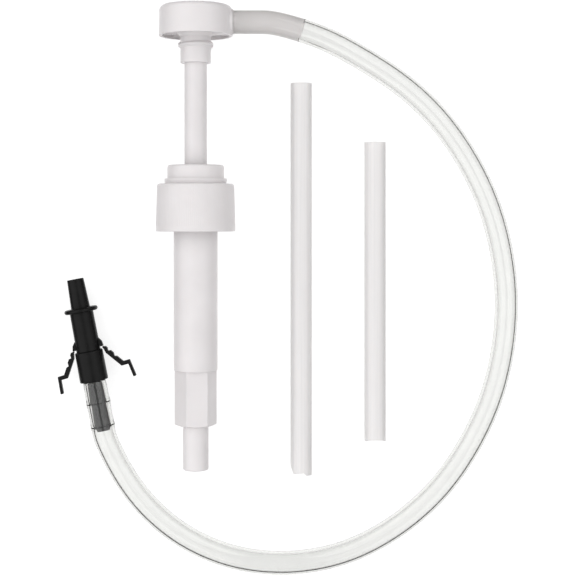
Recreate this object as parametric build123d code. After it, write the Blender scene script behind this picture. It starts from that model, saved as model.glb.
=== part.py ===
"""Hand pump for gear oil: bottle pump, clear hose, filler nozzle and two loose dip tubes.

Everything lies on one flat surface. +Z is up out of that surface, +Y runs along the pump
from its spigot to its head, and +X is the way the spout points. The origin is on the
surface, under the centre of the rectangle that the pump and the dip tubes cover.

The pump is drawn upright about its own Z axis, from the end of the spigot at height 0 to
the top of the head, with its front at -Y, and is then laid down along +Y. The filler
nozzle is drawn the same way, from the end of the hose at height 0 to its tip.
"""

from build123d import *
import math
import os

# ---- driving dimensions, millimetres ------------------------------------------------
layout_width = 124.0  # across the pump and the dip tubes, along X
layout_length = 253.7  # from the long tube's lower end to the pump's head, along Y

# closure, a 38 mm screw cap
cap_r = 21.2  # over the plain band at the mouth
cap_top_r = 20.6
cap_bore_r = 18.95
cap_mouth_h = 127.4
cap_top_h = 152.85
cap_plate = 1.25
cap_hole_r = 13.6
cap_thread_lead = 4.233  # six turns to the inch
cap_thread_depth = 1.1
cap_thread_turns = 1.6

# housing: spigot, six-sided foot, cylinder, neck
spigot_r = 6.95
spigot_length = 23.1
socket_r = 5.85
socket_depth = 20.0
foot_corner_r = 11.25
foot_base_h = 24.5
foot_bore_r = 8.0
foot_turn = -52.0  # where one corner of the foot points, degrees from +X
cylinder_h = 53.0
cylinder_r = 11.75
cylinder_bore_r = 10.0
cone_h = 55.0  # where the bore has widened to the cylinder's
barrel_r = 13.1  # wider stretch inside the closure
barrel_h = 139.0
counterbore_r = 11.3
counterbore_h = 140.0
flange_r = 17.5
flange_h = 149.9
neck_h = 156.8
inlet_hole_r = 3.75
inlet_cone_r = 5.4
floor_h = 27.1

# guide collar, wiper and gasket
collar_r = 15.15
collar_top_h = 162.9
collar_lip_r = 16.7
collar_lip_h = 152.95
collar_lip_foot_r = 16.3
collar_lip_taper = 1.5
collar_lip = 2.65
collar_floor_h = 142.2
collar_floor = 2.5
collar_socket_r = 9.65
collar_thread_depth = 1.0
wiper_bore_r = 6.09
gasket_bore_r = 13.4
gasket_r = 17.3
gasket_thickness = 1.1

# plunger
stem_r = 6.05
stem_bore_r = 3.75
stem_end_h = 116.6
stem_shoulder_h = 139.0
stem_waist_r = 5.0
stem_guide_r = 6.12
head_r = 19.65
head_top_r = 19.4
head_rim_h = 232.0
head_top_h = 248.2
head_wall = 1.6
head_plate = 2.0
head_shoulder = 2.8
boss_r = 8.15
boss_base_h = 217.4
boss_thread_lead = 2.4  # two short starts, right hand
boss_thread_depth = 1.25
boss_thread_root = 3.2
boss_thread_crest = 0.9
boss_thread_h = 227.7  # middle of the ridge where it ends, beside the spout
boss_thread_sweep = 175.0
stem_seat_h = 234.0
hub_r = 11.6  # thicker stretch of the boss inside the head
hub_h = 235.5
hub_cone_h = 231.5
rib_count = 12
rib_thickness = 1.2
rib_base_h = 233.2
spout_h = 239.35
spout_root_r = 7.0
spout_reach = 20.0  # from the pump's axis to the end of the hose
spout_r = 4.55
spout_bore_r = 3.1
spout_end = 15.3  # how far the spout runs past the hose's first bend point

# piston and outlet valve
piston_r = 9.95
piston_waist_r = 8.6
piston_base_h = 117.0
valve_flange_r = 7.6
valve_flange_h = 114.5
valve_flange = 2.0
valve_nose_h = 124.0
outlet_hole_r = 2.4
outlet_ball_r = 3.175
outlet_ball_h = 126.2
outlet_lift = 2.5
stop_bar = 1.2

# inlet valve and spring
inlet_ball_r = 4.7625
inlet_ball_h = 27.6
cage_flange_r = 7.95
cage_flange = 1.8
cage_r = 5.7
cage_bore_r = 5.1
cage_top_h = 36.5
cage_plate = 1.3
cage_window = 3.0
spring_wire = 1.4
spring_mean_r = 6.6
spring_turns = 11

# dip tubes
tube_r = 5.85
tube_bore_r = 4.75
long_tube_length = 213.6
short_tube_length = 162.9
long_tube_x = 15.8
short_tube_top_y = 54.55

# hose
hose_r = 6.35
hose_bore_r = 4.75
hose_floor = 6.4  # height of the hose's middle where it lies on the surface

# filler nozzle
nozzle_bore_r = 3.4
nozzle_length = 56.2
tip_r = 4.5
tip_root_r = 5.15
nozzle_flange_r = 9.05
nozzle_flange_h = 39.05
nozzle_flange_thickness = 2.4
taper_top_r = 6.35
taper_base_r = 6.55
seam_h = 16.5
sleeve_r = 7.7
sleeve_top_r = 7.55
sleeve_bore_r = 5.6
plug_h = 13.0  # where the nozzle's plug ends inside the sleeve
barb_r = 4.75
barb_waist_r = 3.95
barb_flare_r = 4.42  # just above each ring
barb_bore_r = 2.8
barb_rings = (-12.1, -24.9)
barb_ring = 0.5
barb_lead_r = 4.1  # the cone that leads into the hose, at its wide end
barb_tip_r = 3.3
barb_end = -27.4

# retaining arms, drawn with s along the arm from its hinge and t outwards
arm_width = 2.6
arm_pivot_x = 8.3
arm_pivot_h = 17.2
arm_hinge_r = 0.5
arm_tooth = 1.1  # how far the teeth stand out
arm_back = -1.58  # t of the inner face
arm_right_angle = 40.5  # from the nozzle's axis
arm_left_angle = 28.9
arm_corner = 0.3
lug_top_h = 22.6

# ---- places that follow from them ---------------------------------------------------
pump_x = cap_r - layout_width / 2
spigot_end_y = layout_length / 2 - head_top_h
long_tube_end_y = -layout_length / 2
short_tube_x = layout_width / 2 - tube_r
short_tube_end_y = short_tube_top_y - short_tube_length
nozzle_z = nozzle_flange_r

# The hose leaves the spout level, comes down to the surface, goes once round the pump
# and the dip tubes, and rises a little to the nozzle, whose flange rests on the surface.
hose_route = [
    (pump_x + spout_reach, spigot_end_y + spout_h, cap_r),
    (1.5, spigot_end_y + spout_h, cap_r),
    (27.5, 110.2, 20.0),
    (49.0, 99.0, 17.9),
    (71.5, 84.8, 15.3),
    (90.5, 67.3, 12.9),
    (106.6, 44.9, 10.4),
    (118.5, 20.6, 8.4),
    (125.6, -5.3, 7.0),
    (128.4, -31.5, hose_floor),
    (126.5, -58.1, hose_floor),
    (120.3, -84.4, hose_floor),
    (108.9, -109.5, hose_floor),
    (93.1, -133.1, hose_floor),
    (73.2, -151.8, hose_floor),
    (50.1, -165.9, hose_floor),
    (26.7, -173.6, hose_floor),
    (1.4, -175.7, hose_floor),
    (-23.5, -172.1, hose_floor),
    (-46.9, -162.0, hose_floor),
    (-65.6, -147.3, 7.0),
    (-79.5, -129.8, 8.2),
    (-90.7, -107.8, nozzle_z),
    (-96.8, -75.3, nozzle_z),
]

lay_down = Location((pump_x, spigot_end_y, cap_r), (-90, 0, 0))
nozzle_lean = math.degrees(
    math.atan2(hose_route[-2][0] - hose_route[-1][0], hose_route[-1][1] - hose_route[-2][1])
)
lay_nozzle = Location(hose_route[-1], (0, 0, nozzle_lean)) * Location((0, 0, 0), (-90, 0, 0))


# ---- helpers ------------------------------------------------------------------------
def turned(*outline):
    """Solid turned about Z from (radius, height) corners."""
    return revolve(Plane.XZ * make_face(Polyline(*outline, close=True)), Axis.Z)


def ring(inner_r, outer_r, base_h, top_h):
    return turned((inner_r, base_h), (outer_r, base_h), (outer_r, top_h), (inner_r, top_h))


def round_edge(solid, radius, height, size):
    """Rounds the one circular edge of that radius at that height."""
    edges = [
        e
        for e in solid.edges().filter_by(GeomType.CIRCLE)
        if abs(e.radius - radius) < 0.01 and abs(e.center(CenterOf.BOUNDING_BOX).Z - height) < 0.01
    ]
    return fillet(edges, size)


def thread_ridge(radius, depth, root, crest, lead, turns, base_h, turn):
    """Helical ridge on a cylinder of that radius; a negative depth points inwards."""
    path = Helix(pitch=lead, height=lead * turns, radius=radius)
    section = Plane(origin=path @ 0, x_dir=(1, 0, 0), z_dir=path % 0) * make_face(
        Polyline(
            (-0.2 * math.copysign(1, depth), -root / 2),
            (depth, -crest / 2),
            (depth, crest / 2),
            (-0.2 * math.copysign(1, depth), root / 2),
            close=True,
        )
    )
    return Location((0, 0, base_h), (0, 0, turn)) * sweep(section, path=path, is_frenet=True)


def bend_radii(route):
    """The largest arc at each corner that leaves a tenth of the shorter run straight."""
    radii = []
    for before, corner, after in zip(route, route[1:], route[2:]):
        run_in = Vector(*corner) - Vector(*before)
        run_out = Vector(*after) - Vector(*corner)
        half_turn = math.radians(run_in.get_angle(run_out)) / 2
        radii.append(0.45 * min(run_in.length, run_out.length) / math.tan(half_turn))
    return radii


def rod_along(path, radius):
    """Solid of round section along a path."""
    return sweep(Plane(origin=path @ 0, z_dir=path % 0) * Circle(radius), path=path)


# ---- housing side -------------------------------------------------------------------
def pump_housing():
    cylinder = turned(
        (socket_r, cylinder_h),
        (cylinder_r - 0.3, cylinder_h),
        (cylinder_r, cylinder_h + 0.5),
        (cylinder_r, barrel_h - 3),
        (barrel_r, barrel_h),
        (barrel_r, flange_h),
        (flange_r, flange_h),
        (flange_r, flange_h + 1.6),
        (barrel_r, flange_h + 1.6),
        (barrel_r, neck_h),
        (socket_r, neck_h),
    )
    foot = Rot(0, 0, foot_turn) * extrude(RegularPolygon(foot_corner_r, 6), cylinder_h + 1)
    shoulder = turned(
        (0, spigot_length),
        (spigot_r, spigot_length),
        (foot_corner_r + 0.5, foot_base_h),
        (foot_corner_r + 0.5, cylinder_h + 1),
        (0, cylinder_h + 1),
    )
    spigot = turned(
        (0, 0), (spigot_r - 0.5, 0), (spigot_r, 0.5), (spigot_r, foot_base_h), (0, foot_base_h)
    )
    hollow = turned(
        (0, -1),
        (socket_r, -1),
        (socket_r, socket_depth),
        (inlet_hole_r, socket_depth),
        (inlet_hole_r, foot_base_h),
        (inlet_cone_r, floor_h),
        (foot_bore_r, floor_h),
        (foot_bore_r, cylinder_h),
        (cylinder_bore_r, cone_h),
        (cylinder_bore_r, counterbore_h),
        (counterbore_r, counterbore_h),
        (counterbore_r, neck_h + 1),
        (0, neck_h + 1),
    )
    return (foot & shoulder) + spigot + cylinder - hollow


def guide_collar():
    body = turned(
        (stem_guide_r, collar_floor_h),
        (counterbore_r, collar_floor_h),
        (counterbore_r, neck_h + 0.2),
        (barrel_r + 0.05, neck_h + 0.2),
        (barrel_r + 0.05, collar_lip_h),
        (collar_lip_foot_r, collar_lip_h),
        (collar_lip_r, collar_lip_h + collar_lip_taper),
        (collar_lip_r, collar_lip_h + collar_lip),
        (collar_r, collar_lip_h + collar_lip),
        (collar_r, collar_top_h),
        (collar_socket_r, collar_top_h),
        (collar_socket_r, collar_floor_h + collar_floor),
        (stem_guide_r, collar_floor_h + collar_floor),
    )
    body = round_edge(body, collar_r, collar_top_h, 1.3)
    for start in (0, 180):
        body += thread_ridge(
            collar_socket_r, -collar_thread_depth, 2.2, 1.2, boss_thread_lead, 0.6, 151.5, start
        )
    return body


def stem_wiper():
    return turned(
        (wiper_bore_r, counterbore_h + 0.1),
        (counterbore_r, counterbore_h + 0.1),
        (counterbore_r, collar_floor_h - 0.1),
        (stem_r + 1.2, collar_floor_h - 0.1),
        (wiper_bore_r, counterbore_h + 1.1),
    )


def cap_gasket():
    top_h = flange_h - 0.1
    return ring(gasket_bore_r, gasket_r, top_h - gasket_thickness, top_h)


def screw_cap():
    shell = turned(
        (cap_bore_r, cap_mouth_h),
        (cap_r, cap_mouth_h),
        (cap_r, cap_mouth_h + 2.6),
        (cap_top_r, cap_top_h),
        (cap_hole_r, cap_top_h),
        (cap_hole_r, cap_top_h - cap_plate),
        (cap_bore_r, cap_top_h - cap_plate),
    )
    shell = round_edge(shell, cap_top_r, cap_top_h, 0.8)
    return shell + thread_ridge(
        cap_bore_r, -cap_thread_depth, 2.4, 1.0, cap_thread_lead, cap_thread_turns, 131.5, 90
    )


def inlet_ball_cage():
    base_h = floor_h + 0.05
    cage = turned(
        (cage_bore_r + 0.2, base_h),
        (cage_flange_r, base_h),
        (cage_flange_r, base_h + cage_flange),
        (cage_r, base_h + cage_flange),
        (cage_r, cage_top_h),
        (outlet_hole_r, cage_top_h),
        (outlet_hole_r, cage_top_h - cage_plate),
        (cage_bore_r, cage_top_h - cage_plate),
    )
    window = Pos(0, 0, (base_h + cage_flange + cage_top_h - cage_plate) / 2) * Box(
        2 * cage_r + 2, cage_window, 4.5
    )
    return cage - window - Rot(0, 0, 90) * window


def return_spring():
    base_h = floor_h + 0.05 + cage_flange + 0.1 + spring_wire / 2
    top_h = valve_flange_h - 0.1 - spring_wire / 2
    path = Helix(pitch=(top_h - base_h) / spring_turns, height=top_h - base_h, radius=spring_mean_r)
    section = Plane(origin=path @ 0, z_dir=path % 0) * Circle(spring_wire / 2)
    return Pos(0, 0, base_h) * sweep(section, path=path, is_frenet=True)


# ---- plunger side -------------------------------------------------------------------
def spout_path(start_x):
    """From a point beside the pump's axis to the spout's end, along the start of the hose."""
    corner, after = (Vector(*p) for p in hose_route[1:3])
    start = Vector(pump_x + start_x, corner.Y, corner.Z)
    end = corner + (after - corner).normalized() * spout_end
    return FilletPolyline(start, corner, end, radius=bend_radii(hose_route)[0])


def actuator_head():
    head = turned(
        (0, head_top_h),
        (head_top_r, head_top_h),
        (head_r, head_rim_h),
        (head_r - head_wall, head_rim_h),
        (head_top_r - head_wall, head_top_h - head_plate),
        (hub_r, head_top_h - head_plate),
        (hub_r, hub_h),
        (boss_r, hub_cone_h),
        (boss_r, boss_base_h),
        (0, boss_base_h),
    )
    head = round_edge(head, head_top_r, head_top_h, head_shoulder)
    rib_end_r = head_r - head_wall / 2
    rib_height = head_top_h - head_plate / 2 - rib_base_h
    rib = Pos((boss_r + rib_end_r) / 2, 0, rib_base_h + rib_height / 2) * Box(
        rib_end_r - boss_r, rib_thickness, rib_height
    )
    for i in range(rib_count):
        head += Rot(0, 0, (i + 0.5) * 360 / rib_count) * rib
    head += Pos(spout_reach / 2, 0, spout_h) * Rot(0, 90, 0) * Cylinder(spout_root_r, spout_reach)
    for start in (0, 180):
        head += thread_ridge(
            boss_r,
            boss_thread_depth,
            boss_thread_root,
            boss_thread_crest,
            boss_thread_lead,
            boss_thread_sweep / 360,
            boss_thread_h - boss_thread_lead * boss_thread_sweep / 360,
            start - boss_thread_sweep,
        )
    head -= Pos(0, 0, (boss_base_h + stem_seat_h) / 2 - 1) * Cylinder(
        stem_r, stem_seat_h - boss_base_h + 2
    )
    head -= Pos(0, 0, (stem_seat_h + spout_h) / 2) * Cylinder(
        stem_bore_r, spout_h - stem_seat_h + 2
    )
    spout = rod_along(spout_path(head_r - head_wall), spout_r)
    return lay_down * head + spout - rod_along(spout_path(0), spout_bore_r)


def stem():
    tube = turned(
        (stem_bore_r, stem_end_h),
        (stem_waist_r, stem_end_h),
        (stem_waist_r, stem_shoulder_h),
        (stem_r, stem_shoulder_h),
        (stem_r, stem_seat_h),
        (stem_bore_r, stem_seat_h),
    )
    stop_h = outlet_ball_h + outlet_ball_r + outlet_lift + 0.3
    stop = Pos(0, 0, stop_h + stop_bar / 2) * Box(2 * stem_bore_r + 0.6, stop_bar, stop_bar)
    return tube + stop


def piston():
    return turned(
        (stem_waist_r, piston_base_h),
        (piston_waist_r, piston_base_h),
        (piston_r, piston_base_h - 0.3),
        (piston_r, piston_base_h + 3),
        (piston_waist_r, piston_base_h + 5),
        (piston_waist_r, stem_shoulder_h - 5),
        (piston_r, stem_shoulder_h - 3),
        (piston_r, stem_shoulder_h + 0.3),
        (piston_waist_r, stem_shoulder_h),
        (stem_waist_r, stem_shoulder_h),
    )


def outlet_valve_seat():
    return turned(
        (outlet_hole_r, valve_flange_h),
        (valve_flange_r, valve_flange_h),
        (valve_flange_r, valve_flange_h + valve_flange),
        (stem_bore_r, valve_flange_h + valve_flange),
        (stem_bore_r, valve_nose_h),
        (outlet_hole_r, valve_nose_h),
    )


def check_ball(radius, height):
    return Pos(0, 0, height) * Sphere(radius)


# ---- dip tubes ----------------------------------------------------------------------
def dip_tube(length, cut_outline):
    """Tube along +Y from Y = 0, cut at that end to an outline of (x, y) corners."""
    tube = Rot(-90, 0, 0) * ring(tube_bore_r, tube_r, 0, length)
    waste = extrude(make_face(Polyline(*cut_outline, close=True)), tube_r + 1, both=True)
    return Pos(0, 0, tube_r) * (tube - waste)


def dip_tube_long():
    """The lower end is cut by hand: a steep corner, a level stretch and a small step."""
    cut = [(-7, -1), (-7, 6), (-tube_r, 5), (-4.2, 0.9), (1.4, 1.5), (2.9, 0), (2.9, -1)]
    return Pos(long_tube_x, long_tube_end_y, 0) * dip_tube(long_tube_length, cut)


def dip_tube_short():
    """The lower end is cut to a shallow hollow."""
    cut = [(-5.0, -1), (-4.8, 0), (-3.6, 0.6), (0.4, 0.9), (3.6, 0.7), (5.0, 0.2), (5.1, -1)]
    return Pos(short_tube_x, short_tube_end_y, 0) * dip_tube(short_tube_length, cut)


# ---- hose and filler nozzle ---------------------------------------------------------
def hose():
    radii = bend_radii(hose_route)
    path = FilletPolyline(*hose_route, radius=radii)
    tube = rod_along(path, hose_r) - rod_along(path, hose_bore_r)
    section = math.pi * (hose_r**2 - hose_bore_r**2)
    print("hose length", round(path.length, 1), "bend radii", [round(r) for r in radii])
    print("hose volume over section times length", round(tube.volume / section / path.length, 4))
    return tube


def hose_barb():
    outline = [(barb_bore_r, barb_end), (barb_tip_r, barb_end)]
    lead_in_r = barb_lead_r
    for ring_h in reversed(barb_rings):
        outline += [
            (lead_in_r, ring_h - barb_ring),
            (barb_r, ring_h - barb_ring),
            (barb_r, ring_h),
            (barb_flare_r, ring_h + 0.2),
        ]
        lead_in_r = barb_waist_r
    outline += [
        (barb_waist_r, -0.1),
        (sleeve_bore_r, -0.1),
        (sleeve_bore_r, plug_h - 0.1),
        (barb_bore_r, plug_h - 0.1),
    ]
    return turned(*outline)


def nozzle_sleeve():
    return turned(
        (sleeve_bore_r, 0),
        (sleeve_r - 0.3, 0),
        (sleeve_r, 0.3),
        (sleeve_top_r, seam_h - 0.4),
        (sleeve_top_r - 0.4, seam_h),
        (sleeve_bore_r, seam_h),
    )


def nozzle_body():
    flange_base_h = nozzle_flange_h - nozzle_flange_thickness / 2
    flange_top_h = nozzle_flange_h + nozzle_flange_thickness / 2
    body = turned(
        (nozzle_bore_r, plug_h),
        (sleeve_bore_r, plug_h),
        (sleeve_bore_r, seam_h + 0.1),
        (taper_base_r, seam_h + 0.1),
        (taper_top_r, flange_base_h),
        (nozzle_flange_r, flange_base_h),
        (nozzle_flange_r, flange_top_h),
        (tip_root_r, flange_top_h),
        (tip_r, nozzle_length),
        (nozzle_bore_r, nozzle_length),
    )
    body = round_edge(body, nozzle_flange_r, flange_base_h, 1.1)
    body = round_edge(body, nozzle_flange_r, flange_top_h, 1.1)
    lug = make_face(
        Polyline(
            (taper_top_r - 0.5, arm_pivot_h + 0.65),
            (arm_pivot_x - 0.3, arm_pivot_h + 0.65),
            (arm_pivot_x + 0.1, arm_pivot_h + 0.9),
            (arm_pivot_x - 0.3, lug_top_h - 2.1),
            (taper_top_r + 0.2, lug_top_h),
            (taper_top_r - 0.5, lug_top_h),
            close=True,
        )
    )
    lug = Rot(90, 0, 0) * extrude(lug, arm_width / 2, both=True)
    return body + lug + Rot(0, 0, 180) * lug


def retaining_arm(angle, side):
    """Springy toothed finger with a bent leg; side is 1 right, -1 left."""
    teeth = [
        *((0.2, 0), (0.5, arm_tooth), (1.9, arm_tooth), (3.3, 0)),
        *((4.2, arm_tooth), (6.2, arm_tooth), (7.8, 0)),
        *((8.9, 0.8 * arm_tooth), (13.3, 0.8 * arm_tooth)),
    ]
    leg = [(15.3, 3.8), (23.7, -0.7), (22.9, -2.1), (16.35, 1.5), (14.2, arm_back)]
    relief = [(3.2, arm_back), (0, -0.3)]
    outline = make_face(Polyline(*teeth, *leg, *relief, close=True))
    rounded = [v for v in outline.vertices() if v.X > 1]
    outline = fillet(rounded, arm_corner) + Circle(arm_hinge_r)
    solid = extrude(outline, arm_width / 2, both=True)
    if side < 0:
        solid = mirror(solid, about=Plane.XZ)
    solid = Rot(0, 0, side * angle - 90) * solid
    return Pos(side * arm_pivot_x, 0, arm_pivot_h) * Rot(90, 0, 0) * solid


# ---- write every piece --------------------------------------------------------------
pieces = {
    "pump_housing": lay_down * pump_housing(),
    "guide_collar": lay_down * guide_collar(),
    "stem_wiper": lay_down * stem_wiper(),
    "cap_gasket": lay_down * cap_gasket(),
    "screw_cap": lay_down * screw_cap(),
    "inlet_ball_cage": lay_down * inlet_ball_cage(),
    "inlet_check_ball": lay_down * check_ball(inlet_ball_r, inlet_ball_h),
    "return_spring": lay_down * return_spring(),
    "actuator_head": actuator_head(),
    "stem": lay_down * stem(),
    "piston": lay_down * piston(),
    "outlet_valve_seat": lay_down * outlet_valve_seat(),
    "outlet_check_ball": lay_down * check_ball(outlet_ball_r, outlet_ball_h),
    "dip_tube_long": dip_tube_long(),
    "dip_tube_short": dip_tube_short(),
    "hose": hose(),
    "hose_barb": lay_nozzle * hose_barb(),
    "nozzle_sleeve": lay_nozzle * nozzle_sleeve(),
    "nozzle_body": lay_nozzle * nozzle_body(),
    "arm_right": lay_nozzle * retaining_arm(arm_right_angle, 1),
    "arm_left": lay_nozzle * retaining_arm(arm_left_angle, -1),
}

os.makedirs("parts", exist_ok=True)
for name, solid in pieces.items():
    export_step(solid, f"parts/{name}.step")
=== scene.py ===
"""Looks for the gear oil pump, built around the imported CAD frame. Lengths are in metres."""

import bpy
import bmesh
import math
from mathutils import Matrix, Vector


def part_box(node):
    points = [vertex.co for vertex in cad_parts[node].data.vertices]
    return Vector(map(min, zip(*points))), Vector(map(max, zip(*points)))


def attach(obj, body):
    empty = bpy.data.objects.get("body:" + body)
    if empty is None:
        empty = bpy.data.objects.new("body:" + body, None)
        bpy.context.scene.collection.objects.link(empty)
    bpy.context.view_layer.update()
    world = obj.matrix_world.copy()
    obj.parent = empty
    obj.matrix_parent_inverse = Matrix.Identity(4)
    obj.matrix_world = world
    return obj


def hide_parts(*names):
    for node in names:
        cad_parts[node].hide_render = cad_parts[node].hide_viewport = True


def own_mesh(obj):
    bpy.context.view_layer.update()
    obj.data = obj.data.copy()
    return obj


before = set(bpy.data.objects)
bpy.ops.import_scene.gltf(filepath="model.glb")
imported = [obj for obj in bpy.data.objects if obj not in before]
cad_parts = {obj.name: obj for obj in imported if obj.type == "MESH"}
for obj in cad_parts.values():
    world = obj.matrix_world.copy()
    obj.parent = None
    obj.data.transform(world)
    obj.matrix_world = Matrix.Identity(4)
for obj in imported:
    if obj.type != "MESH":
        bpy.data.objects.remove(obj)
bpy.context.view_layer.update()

# ---- places taken from the frame ----------------------------------------------------
MM = 0.001
cap_low, cap_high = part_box("screw_cap")
AXIS_X = (cap_low[0] + cap_high[0]) / 2  # the pump's axis, which runs along Y
AXIS_Z = (cap_low[2] + cap_high[2]) / 2

# ---- camera -------------------------------------------------------------------------
CAMERA_ABOVE_AXIS = 0.722
CAMERA_AT = (0.0086, 0.0132)
VIEW_WIDTH = 0.3082  # what the frame spans at the height of the pump's axis
VIEW_SHIFT = -0.1215


def make_camera():
    lens = bpy.data.cameras.new("camera")
    lens.lens = lens.sensor_width * CAMERA_ABOVE_AXIS / VIEW_WIDTH
    lens.shift_y = VIEW_SHIFT
    camera = bpy.data.objects.new("camera", lens)
    camera.location = (*CAMERA_AT, AXIS_Z + CAMERA_ABOVE_AXIS)
    bpy.context.collection.objects.link(camera)
    bpy.context.scene.camera = camera


# ---- mesh helpers -------------------------------------------------------------------
def mesh_piece(name, points, faces, body, slot, material, smooth=True):
    mesh = bpy.data.meshes.new(name)
    mesh.from_pydata(points, [], faces)
    shape = bmesh.new()
    shape.from_mesh(mesh)
    bmesh.ops.recalc_face_normals(shape, faces=shape.faces)
    shape.to_mesh(mesh)
    shape.free()
    if smooth:
        mesh.shade_smooth()
    piece = bpy.data.objects.new(name, mesh)
    bpy.context.collection.objects.link(piece)
    mesh.materials.append(material)
    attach(piece, body)
    return piece


def loops_to_faces(count, sides, closed_along=False):
    """Quads between successive loops of vertices, each loop having the same number of them."""
    faces = []
    for i in range(count if closed_along else count - 1):
        a, b = i * sides, (i + 1) % count * sides
        for j in range(sides):
            k = (j + 1) % sides
            faces.append((a + j, a + k, b + k, b + j))
    return faces


def end_faces(count, sides):
    """The two faces that close the ends of a row of loops."""
    last = (count - 1) * sides
    return [tuple(range(sides - 1, -1, -1)), tuple(last + j for j in range(sides))]


def circle(centre, side, up, radius, sides):
    points = []
    for j in range(sides):
        angle = 2 * math.pi * j / sides
        points.append(centre + side * radius * math.cos(angle) + up * radius * math.sin(angle))
    return points


def frames_along(line):
    """Two directions square to the line at each point, turned as little as possible."""
    tangents = [(b - a).normalized() for a, b in zip(line, line[1:])]
    tangents = [tangents[0]] + [
        (a + b).normalized() for a, b in zip(tangents, tangents[1:])
    ] + [tangents[-1]]
    side = tangents[0].cross(Vector((0, 0, 1))).normalized()
    frames = []
    for tangent in tangents:
        side = (side - tangent * side.dot(tangent)).normalized()
        frames.append((side, side.cross(tangent)))
    return frames


def distances(line):
    run = [0.0]
    for a, b in zip(line, line[1:]):
        run.append(run[-1] + (b - a).length)
    return run


# ---- hose ---------------------------------------------------------------------------
HOSE_DIAMETER = 12.7 * MM
HOSE_BORE_R = 4.8 * MM
HOSE_SIDES = 64
HOSE_STEP = 4  # away from the fittings, one point in so many of the smooth line is used
HOSE_FLOOR = 6.4 * MM
NOZZLE_Z = 9.05 * MM
SPOUT_Y = 118.0 * MM
SPOUT_IN_HOSE = 37.5 * MM
BARB_RINGS = (12.35 * MM, 25.15 * MM)  # from the end at the nozzle to each ring's middle
BARB_IN_HOSE = 30 * MM

# The route is the CAD hose's. Two points are added where the hose is straight: one over
# the spout's straight part, and one over the barb.
hose_route = [
    (-0.0208, SPOUT_Y, AXIS_Z),
    (-0.00965, SPOUT_Y, AXIS_Z),
    (0.0015, SPOUT_Y, AXIS_Z),
    (0.0275, 0.1102, 0.0200),
    (0.0490, 0.0990, 0.0179),
    (0.0715, 0.0848, 0.0153),
    (0.0905, 0.0673, 0.0129),
    (0.1066, 0.0449, 0.0104),
    (0.1185, 0.0206, 0.0084),
    (0.1256, -0.0053, 0.0070),
    (0.1284, -0.0315, HOSE_FLOOR),
    (0.1265, -0.0581, HOSE_FLOOR),
    (0.1203, -0.0844, HOSE_FLOOR),
    (0.1089, -0.1095, HOSE_FLOOR),
    (0.0931, -0.1331, HOSE_FLOOR),
    (0.0732, -0.1518, HOSE_FLOOR),
    (0.0501, -0.1659, HOSE_FLOOR),
    (0.0267, -0.1736, HOSE_FLOOR),
    (0.0014, -0.1757, HOSE_FLOOR),
    (-0.0235, -0.1721, HOSE_FLOOR),
    (-0.0469, -0.1620, HOSE_FLOOR),
    (-0.0656, -0.1473, 0.0070),
    (-0.0795, -0.1298, 0.0082),
    (-0.0907, -0.1078, NOZZLE_Z),
    (-0.09236, -0.09896, NOZZLE_Z),
    (-0.0968, -0.0753, NOZZLE_Z),
]


def spline_line(points):
    """The points of the smooth line that those control points give."""
    data = bpy.data.curves.new("route", "CURVE")
    data.dimensions = "3D"
    spline = data.splines.new("NURBS")
    spline.points.add(len(points) - 1)
    for control, place in zip(spline.points, points):
        control.co = (*place, 1)
    spline.order_u = 3
    spline.use_endpoint_u = True
    spline.resolution_u = 48
    route = bpy.data.objects.new("route", data)
    mesh = bpy.data.meshes.new_from_object(route)
    line = [vertex.co.copy() for vertex in mesh.vertices]
    bpy.data.objects.remove(route)
    bpy.data.meshes.remove(mesh)
    return line


def at_rings(from_nozzle, width):
    """1 at the middle of each of the barb's rings, falling off over that width."""
    return sum(math.exp(-(((from_nozzle - ring) / width) ** 2)) for ring in BARB_RINGS)


def bore_radius(from_spout, from_nozzle):
    """The bore grips the spout, and touches the barb only at its rings."""
    in_spout = min(1.0, max(0.0, (SPOUT_IN_HOSE - from_spout) / (1.5 * MM)))
    return HOSE_BORE_R - 0.6 * MM * in_spout - 0.2 * MM * at_rings(from_nozzle, 0.5 * MM)


def outer_radius(from_nozzle):
    """The hose stands out over the barb's rings and is pinched in beside the sleeve."""
    pinch = 0.35 * MM * math.exp(-((from_nozzle / (2.5 * MM)) ** 2))
    return HOSE_DIAMETER / 2 + 0.25 * MM * at_rings(from_nozzle, 1.8 * MM) - pinch


def hose_stations(line):
    """Points to draw the hose through: close together over the fittings, wider elsewhere."""
    run = distances(line)
    fitted = (SPOUT_IN_HOSE - 4 * MM, SPOUT_IN_HOSE + 2 * MM)
    kept = []
    for i, (at, place) in enumerate(zip(run, line)):
        near_fitting = fitted[0] < at < fitted[1] or at > run[-1] - BARB_IN_HOSE
        if near_fitting or i % HOSE_STEP == 0 or i == len(line) - 1:
            kept.append((at, place))
    return kept, run[-1]


def make_hose(material):
    stations, length = hose_stations(spline_line(hose_route))
    run, line = zip(*stations)
    frames = frames_along(line)
    points = []
    for bore in (False, True):
        order = range(len(line) - 1, -1, -1) if bore else range(len(line))
        for i in order:
            to_nozzle = length - run[i]
            radius = bore_radius(run[i], to_nozzle) if bore else outer_radius(to_nozzle)
            points += circle(line[i], *frames[i], radius, HOSE_SIDES)
    faces = loops_to_faces(2 * len(line), HOSE_SIDES, closed_along=True)
    hose = mesh_piece("clear_hose", points, faces, "plunger", "hose_clear", material)
    hose.visible_shadow = False
    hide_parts("hose")
    return hose


# ---- materials ----------------------------------------------------------------------
def new_material(name):
    material = bpy.data.materials.new(name)
    material.use_nodes = True
    nodes, links = material.node_tree.nodes, material.node_tree.links
    return material, nodes, links, nodes["Principled BSDF"]


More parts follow.
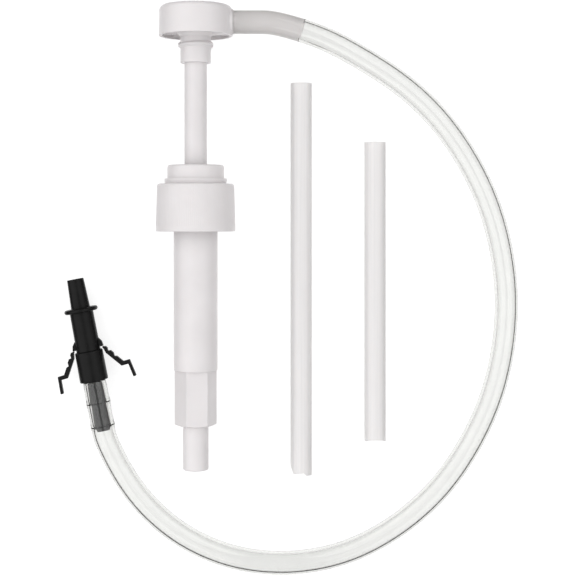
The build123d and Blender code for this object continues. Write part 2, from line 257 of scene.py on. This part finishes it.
def noise(nodes, links, scale, stretch=(1, 1, 1), detail=4.0):
    """Noise in object space, stretched along an axis where its factor is small."""
    where = nodes.new("ShaderNodeTexCoord")
    mapping = nodes.new("ShaderNodeMapping")
    mapping.inputs["Scale"].default_value = stretch
    texture = nodes.new("ShaderNodeTexNoise")
    texture.inputs["Scale"].default_value = scale
    texture.inputs["Detail"].default_value = detail
    links.new(where.outputs["Object"], mapping.inputs["Vector"])
    links.new(mapping.outputs["Vector"], texture.inputs["Vector"])
    return texture.outputs["Fac"]


def ramp(nodes, links, value, low, high, start=0.3, end=0.7):
    ramp_node = nodes.new("ShaderNodeValToRGB")
    first, last = ramp_node.color_ramp.elements
    first.position, last.position = start, end
    first.color, last.color = (*low, 1), (*high, 1)
    links.new(value, ramp_node.inputs["Fac"])
    return ramp_node.outputs["Color"]


def to_range(nodes, links, value, low, high):
    spread = nodes.new("ShaderNodeMapRange")
    spread.inputs["To Min"].default_value = low
    spread.inputs["To Max"].default_value = high
    links.new(value, spread.inputs["Value"])
    return spread.outputs["Result"]


def bump(nodes, links, shader, height, depth, edge=0.0):
    relief = nodes.new("ShaderNodeBump")
    relief.inputs["Strength"].default_value = 1.0
    relief.inputs["Distance"].default_value = depth
    links.new(height, relief.inputs["Height"])
    if edge:
        rounding = nodes.new("ShaderNodeBevel")
        rounding.samples = 4
        rounding.inputs["Radius"].default_value = edge
        links.new(rounding.outputs["Normal"], relief.inputs["Normal"])
    links.new(relief.outputs["Normal"], shader.inputs["Normal"])


def moulded_white(name, low, high, gloss=0.36, edge=0.25 * MM, scatter=0.12):
    """Satin injection-moulded polypropylene: cloudy tint, fine mould grain, soft edges."""
    material, nodes, links, shader = new_material(name)
    cloud = noise(nodes, links, 55, detail=3)
    links.new(ramp(nodes, links, cloud, low, high), shader.inputs["Base Color"])
    patches = to_range(nodes, links, noise(nodes, links, 160), gloss - 0.06, gloss + 0.08)
    links.new(patches, shader.inputs["Roughness"])
    grain = noise(nodes, links, 2600, detail=2)
    bump(nodes, links, shader, grain, 0.012 * MM, edge)
    shader.inputs["Specular IOR Level"].default_value = 0.35
    shader.inputs["Subsurface Weight"].default_value = scatter
    shader.inputs["Subsurface Radius"].default_value = (1.0, 0.9, 0.85)
    shader.inputs["Subsurface Scale"].default_value = 1.0 * MM
    return material


def extruded_tube(name):
    """Natural polyethylene tube: faint draw lines along it and a milky depth."""
    material, nodes, links, shader = new_material(name)
    lines = noise(nodes, links, 900, stretch=(1, 0.01, 1), detail=3)
    links.new(
        ramp(nodes, links, lines, (0.84, 0.82, 0.815), (0.9, 0.875, 0.87)),
        shader.inputs["Base Color"],
    )
    links.new(to_range(nodes, links, lines, 0.26, 0.4), shader.inputs["Roughness"])
    bump(nodes, links, shader, lines, 0.02 * MM, 0.15 * MM)
    shader.inputs["Subsurface Weight"].default_value = 0.3
    shader.inputs["Subsurface Radius"].default_value = (1.0, 0.95, 0.9)
    shader.inputs["Subsurface Scale"].default_value = 2 * MM
    return material


def clear_vinyl(name):
    """Clear flexible PVC with faint extrusion lines; painted shade makes it greyer where it is
    looked along, so its edges go darker.
    """
    material, nodes, links, shader = new_material(name)
    cloud = noise(nodes, links, 90, detail=2)
    clear = ramp(nodes, links, cloud, (0.925, 0.927, 0.922), (0.94, 0.942, 0.937))
    # Painted shade: the base colour is darkened where the wall is seen at a slant, so the hose's
    # edges read darker.
    slant = nodes.new("ShaderNodeLayerWeight")
    painted_edge_shade = ramp(nodes, links, slant.outputs["Facing"], (1, 1, 1), (0.72, 0.72, 0.71), 0.5, 0.8)
    tint_and_edge_shade = nodes.new("ShaderNodeVectorMath")
    tint_and_edge_shade.operation = "MULTIPLY"
    links.new(clear, tint_and_edge_shade.inputs[0])
    links.new(painted_edge_shade, tint_and_edge_shade.inputs[1])
    links.new(tint_and_edge_shade.outputs["Vector"], shader.inputs["Base Color"])
    ripple = noise(nodes, links, 240, detail=2)
    bump(nodes, links, shader, ripple, 0.03 * MM)
    shader.inputs["Transmission Weight"].default_value = 1.0
    shader.inputs["Roughness"].default_value = 0.03
    shader.inputs["IOR"].default_value = 1.52
    depth = nodes.new("ShaderNodeVolumeAbsorption")
    depth.inputs["Color"].default_value = (0.62, 0.62, 0.58, 1)
    depth.inputs["Density"].default_value = 95.0
    links.new(depth.outputs["Volume"], nodes["Material Output"].inputs["Volume"])
    return material


def moulded_black(name, tint=0.004):
    """Black nylon moulding: satin, slightly uneven gloss, fine spark-eroded grain."""
    material, nodes, links, shader = new_material(name)
    cloud = noise(nodes, links, 220, detail=3)
    low, high = (tint * 0.8,) * 3, (tint * 1.5,) * 3
    links.new(ramp(nodes, links, cloud, low, high), shader.inputs["Base Color"])
    links.new(to_range(nodes, links, cloud, 0.3, 0.42), shader.inputs["Roughness"])
    shader.inputs["Specular IOR Level"].default_value = 0.18
    grain = noise(nodes, links, 3200, detail=2)
    bump(nodes, links, shader, grain, 0.018 * MM, 0.2 * MM)
    return material


def polished_steel(name, gloss):
    material, nodes, links, shader = new_material(name)
    marks = noise(nodes, links, 1200, detail=3)
    links.new(
        ramp(nodes, links, marks, (0.52, 0.52, 0.54), (0.66, 0.66, 0.67)),
        shader.inputs["Base Color"],
    )
    links.new(to_range(nodes, links, marks, gloss, gloss + 0.12), shader.inputs["Roughness"])
    bump(nodes, links, shader, marks, 0.005 * MM)
    shader.inputs["Metallic"].default_value = 1.0
    return material


def paint(material, *names):
    for name in names:
        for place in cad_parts[name].material_slots:
            place.material = material


# ---- closure ------------------------------------------------------------------------
RIB_COUNT = 132
RIB_STEPS = 6  # vertices across one rib
RIB_DEPTH = 0.1 * MM


def ring_points(height, radius, depth=0.0):
    """One loop round the pump's axis, cut in between the ribs where depth isn't 0."""
    count = RIB_COUNT * RIB_STEPS
    points = []
    for i in range(count):
        angle = 2 * math.pi * i / count
        groove = 0.5 - 0.5 * math.cos(RIB_COUNT * angle)
        r = radius - depth * groove**0.7
        points.append((AXIS_X + r * math.cos(angle), height, AXIS_Z + r * math.sin(angle)))
    return points


def make_cap(material):
    mouth, top = cap_low[1], cap_high[1]
    band_r = (cap_high[0] - cap_low[0]) / 2
    top_r, bore_r, hole_r = 20.6 * MM, 18.95 * MM, 13.6 * MM
    band, plate = 2.6 * MM, 1.25 * MM

    def side_r(height):
        share = max(0.0, height - mouth - band) / (top - mouth - band)
        return band_r + (top_r - band_r) * share

    rings = [
        ring_points(mouth, band_r - 0.35 * MM),
        ring_points(mouth + 0.1 * MM, band_r - 0.1 * MM),
        ring_points(mouth + 0.35 * MM, band_r),
        ring_points(mouth + band - 0.5 * MM, band_r),
        ring_points(mouth + band, band_r - 0.05 * MM, 0.1 * RIB_DEPTH),
        ring_points(mouth + band + 0.5 * MM, side_r(mouth + band + 0.5 * MM), 0.9 * RIB_DEPTH),
    ]
    for share in (0.15, 0.4, 0.65, 0.9):
        height = mouth + band + (top - mouth - band) * share
        rings.append(ring_points(height, side_r(height), RIB_DEPTH))
    for back, down, depth in ((0.05, 0.9, 0.9), (0.25, 0.45, 0.6), (0.55, 0.15, 0.3), (1.0, 0, 0)):
        height = top - down * MM
        rings.append(ring_points(height, side_r(height) - back * MM, depth * RIB_DEPTH))
    rings += [
        ring_points(top, hole_r + 0.3 * MM),
        ring_points(top - 0.3 * MM, hole_r),
        ring_points(top - plate, hole_r),
        ring_points(top - plate, bore_r - 0.4 * MM),
        ring_points(top - plate - 0.4 * MM, bore_r),
        ring_points(mouth + 0.3 * MM, bore_r),
        ring_points(mouth, bore_r + 0.3 * MM),
    ]
    points = [p for loop in rings for p in loop]
    faces = loops_to_faces(len(rings), RIB_COUNT * RIB_STEPS, closed_along=True)
    cap = mesh_piece("ribbed_cap", points, faces, "closure", "white_moulding", material)
    cap.data.set_sharp_from_angle(angle=math.radians(38))
    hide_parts("screw_cap")
    thread = helix_ridge(mouth + 4.1 * MM, bore_r, depth=-1.1 * MM, lead=4.233 * MM, turns=1.6)
    mesh_piece("cap_thread", *thread, "closure", "white_moulding", material, smooth=False)


def helix_ridge(start, radius, depth, lead, turns, steps=72):
    """Thread ridge round the pump's axis, tapering in and out over an eighth at each end."""
    count = int(turns * steps)
    points, sides = [], 4
    for i in range(count + 1):
        share = 0.05
        if 0 < i < count:
            share = min(1.0, 8 * i / count, 8 * (count - i) / count) ** 0.5
        angle = 2 * math.pi * i / steps
        height = start + lead * i / steps
        reach = radius + depth * share
        for r, half in (
            (radius + 0.15 * MM, 1.2 * MM),
            (reach, 0.5 * MM * share),
            (reach, -0.5 * MM * share),
            (radius + 0.15 * MM, -1.2 * MM),
        ):
            points.append(
                (AXIS_X + r * math.sin(angle), height + half, AXIS_Z + r * math.cos(angle))
            )
    return points, loops_to_faces(count + 1, sides) + end_faces(count + 1, sides)


# ---- return spring ------------------------------------------------------------------
def make_spring(material):
    low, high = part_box("return_spring")
    wire_r, turns, steps, sides = 0.7 * MM, 11, 36, 12
    coil_r = (high[0] - low[0]) / 2 - wire_r
    count = turns * steps
    line = []
    for i in range(count + 1):
        angle = 2 * math.pi * i / steps
        y = low[1] + wire_r + (high[1] - low[1] - 2 * wire_r) * i / count
        x, z = AXIS_X + coil_r * math.cos(angle), AXIS_Z - coil_r * math.sin(angle)
        line.append(Vector((x, y, z)))
    points = []
    for at, (side, up) in zip(line, frames_along(line)):
        points += circle(at, side, up, wire_r, sides)
    faces = loops_to_faces(count + 1, sides) + end_faces(count + 1, sides)
    spring = mesh_piece("coil_spring", points, faces, "housing", "spring_steel", material)
    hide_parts("return_spring")
    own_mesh(spring)


# ---- stage and light ----------------------------------------------------------------
FLOOR_REACH = 9.0
FLOOR_GLOW = 0.74
GLOW_REACH = 5.0  # the glow has faded out this far from the middle
LOUVRE_FROM = math.radians(50)  # from straight up: the light fades out between these
LOUVRE_TO = math.radians(58)
SOFTBOX_AWAY = 1.2
SOFTBOX_LENGTH = 3.4


def make_floor():
    """White paper on a light table, which glows under the object and fades out round it."""
    mesh = bpy.data.meshes.new("floor")
    r = FLOOR_REACH
    mesh.from_pydata([(-r, -r, 0), (r, -r, 0), (r, r, 0), (-r, r, 0)], [], [(0, 1, 2, 3)])
    floor = bpy.data.objects.new("floor", mesh)
    floor.location.z = -0.1 * MM
    bpy.context.collection.objects.link(floor)
    material, nodes, links, shader = new_material("floor_paper")
    shader.inputs["Base Color"].default_value = (0.45, 0.45, 0.45, 1)
    shader.inputs["Roughness"].default_value = 0.9
    shader.inputs["Specular IOR Level"].default_value = 0.0
    shader.inputs["Emission Color"].default_value = (1, 1, 1, 1)
    where = nodes.new("ShaderNodeTexCoord")
    reach = nodes.new("ShaderNodeVectorMath")
    reach.operation = "LENGTH"
    links.new(where.outputs["Object"], reach.inputs[0])
    fade = nodes.new("ShaderNodeMapRange")
    fade.interpolation_type = "SMOOTHSTEP"
    fade.inputs["From Min"].default_value = 0.4 * GLOW_REACH
    fade.inputs["From Max"].default_value = GLOW_REACH
    fade.inputs["To Min"].default_value = FLOOR_GLOW
    fade.inputs["To Max"].default_value = 0.0
    links.new(reach.outputs["Value"], fade.inputs["Value"])
    links.new(fade.outputs["Result"], shader.inputs["Emission Strength"])
    keep_light_upright(nodes, links, shader)
    mesh.materials.append(material)


def keep_light_upright(nodes, links, shader):
    """The table's louvres let little light out near level, so the object's edges go dark.

    That holds for light on its way to a matt surface, or reflected on it or inside its clear
    walls. Looked at directly or straight through the hose, the paper is the same from every side.
    """
    slant = nodes.new("ShaderNodeLayerWeight")
    level = nodes.new("ShaderNodeMapRange")
    level.interpolation_type = "SMOOTHSTEP"
    level.inputs["From Min"].default_value = 1 - math.cos(LOUVRE_FROM)
    level.inputs["From Max"].default_value = 1 - math.cos(LOUVRE_TO)
    links.new(slant.outputs["Facing"], level.inputs["Value"])
    path = nodes.new("ShaderNodeLightPath")
    indirect = nodes.new("ShaderNodeMath")
    indirect.operation = "ADD"
    indirect.use_clamp = True
    links.new(path.outputs["Is Diffuse Ray"], indirect.inputs[0])
    links.new(path.outputs["Glossy Depth"], indirect.inputs[1])
    blocked = nodes.new("ShaderNodeMath")
    blocked.operation = "MULTIPLY"
    links.new(level.outputs["Result"], blocked.inputs[0])
    links.new(indirect.outputs["Value"], blocked.inputs[1])
    louvre = nodes.new("ShaderNodeBsdfDiffuse")
    louvre.inputs["Color"].default_value = (0.06, 0.06, 0.06, 1)
    mix = nodes.new("ShaderNodeMixShader")
    links.new(blocked.outputs["Value"], mix.inputs["Fac"])
    links.new(shader.outputs["BSDF"], mix.inputs[1])
    links.new(louvre.outputs["BSDF"], mix.inputs[2])
    links.new(mix.outputs["Shader"], nodes["Material Output"].inputs["Surface"])


def softbox(name, from_degrees, to_degrees, radiance):
    """Long box over the object, between two angles to the right of straight up."""
    middle = math.radians(from_degrees + to_degrees) / 2
    half = math.radians(to_degrees - from_degrees) / 2
    data = bpy.data.lights.new(name, "AREA")
    data.shape = "RECTANGLE"
    data.size, data.size_y = 2 * SOFTBOX_AWAY * math.tan(half), SOFTBOX_LENGTH
    data.energy = radiance * math.pi * data.size * data.size_y
    light = bpy.data.objects.new(name, data)
    light.location = (SOFTBOX_AWAY * math.sin(middle), 0, SOFTBOX_AWAY * math.cos(middle))
    light.rotation_euler = (0, middle, 0)
    light.visible_camera = False
    bpy.context.collection.objects.link(light)


def make_light():
    world = bpy.data.worlds.new("studio")
    world.use_nodes = True
    sky = world.node_tree.nodes["Background"]
    sky.inputs["Color"].default_value = (1.0, 1.0, 1.0, 1)
    sky.inputs["Strength"].default_value = 0.32
    bpy.context.scene.world = world
    softbox("key", from_degrees=-82, to_degrees=-8, radiance=0.98)
    softbox("fill", from_degrees=12, to_degrees=64, radiance=0.95)
    bpy.context.scene.view_settings.view_transform = "Standard"
    bpy.context.scene.view_settings.look = "None"


# ---- build --------------------------------------------------------------------------
make_camera()
make_hose(clear_vinyl("clear_vinyl"))

white = moulded_white("white_polypropylene", (0.815, 0.785, 0.79), (0.855, 0.825, 0.83))
soft_white = moulded_white("soft_polyethylene", (0.74, 0.74, 0.72), (0.8, 0.8, 0.78), 0.45)
foam = moulded_white("foamed_gasket", (0.7, 0.7, 0.68), (0.78, 0.78, 0.76), 0.7)
black = moulded_black("black_nylon")
barb_black = moulded_black("black_barb", 0.03)
paint(white, "pump_housing", "guide_collar", "inlet_ball_cage", "actuator_head", "stem")
paint(white, "outlet_valve_seat")
paint(soft_white, "piston", "stem_wiper")
paint(foam, "cap_gasket")
paint(extruded_tube("natural_tube"), "dip_tube_long", "dip_tube_short")
paint(black, "nozzle_sleeve", "nozzle_body", "arm_right", "arm_left")
paint(barb_black, "hose_barb")
paint(polished_steel("ball_steel", 0.08), "inlet_check_ball", "outlet_check_ball")
make_cap(white)
make_spring(polished_steel("spring_steel", 0.22))
make_floor()
make_light()
